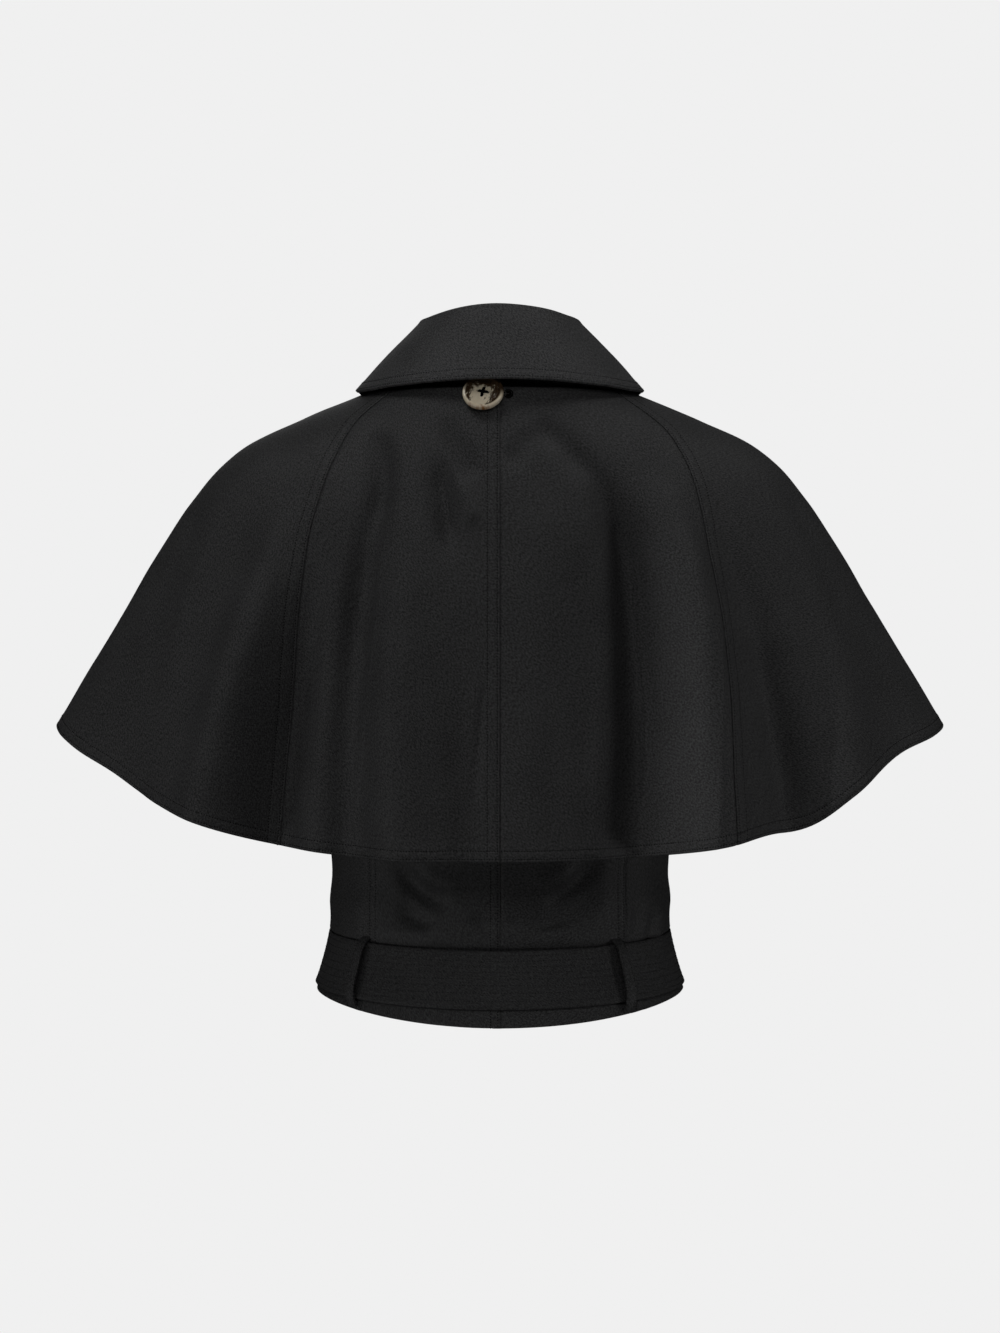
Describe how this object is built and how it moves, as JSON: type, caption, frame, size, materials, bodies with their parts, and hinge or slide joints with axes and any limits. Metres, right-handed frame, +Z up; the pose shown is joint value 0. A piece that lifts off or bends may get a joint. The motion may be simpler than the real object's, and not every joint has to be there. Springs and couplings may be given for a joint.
{
  "type": "cape trench coat",
  "caption": "Cropped black trench coat held in its worn form: raglan cape open at the front over a sleeveless buttoned body, turned-down collar, horn nape button and slide-buckle belt.",
  "frame": {"origin": "middle of the neck opening, level with the shoulder points where the wearer carries the coat", "axes": "+X towards the wearer's left, +Y out of the back, -Y out of the front, +Z up"},
  "size_m": [0.676, 0.3181, 0.5328],
  "materials": {
    "coat_cloth": "matte cotton gabardine",
    "cape_cloth": "matte cotton gabardine",
    "collar_cloth": "matte cotton gabardine, interfaced",
    "belt_cloth": "matte cotton gabardine, row-stitched",
    "horn": "polished mottled horn",
    "buckle_lacquer": "satin black lacquer"
  },
  "bodies": {
    "root": {"body_back_left": "coat_cloth", "body_back_right": "coat_cloth", "body_side_left": "coat_cloth", "body_side_right": "coat_cloth", "body_front_left": "coat_cloth", "body_front_right": "coat_cloth", "cape_back_left": "cape_cloth", "cape_back_right": "cape_cloth", "cape_side_left": "cape_cloth", "cape_side_right": "cape_cloth", "cape_front_left": "cape_cloth", "cape_front_right": "cape_cloth", "collar": "collar_cloth", "cape_button": "horn", "front_button_1": "horn", "front_button_2": "horn", "front_button_3": "horn", "front_button_4": "horn", "belt": "belt_cloth", "belt_loop_left": "coat_cloth", "belt_loop_right": "coat_cloth", "belt_buckle": "buckle_lacquer"}
  },
  "joints": []
}
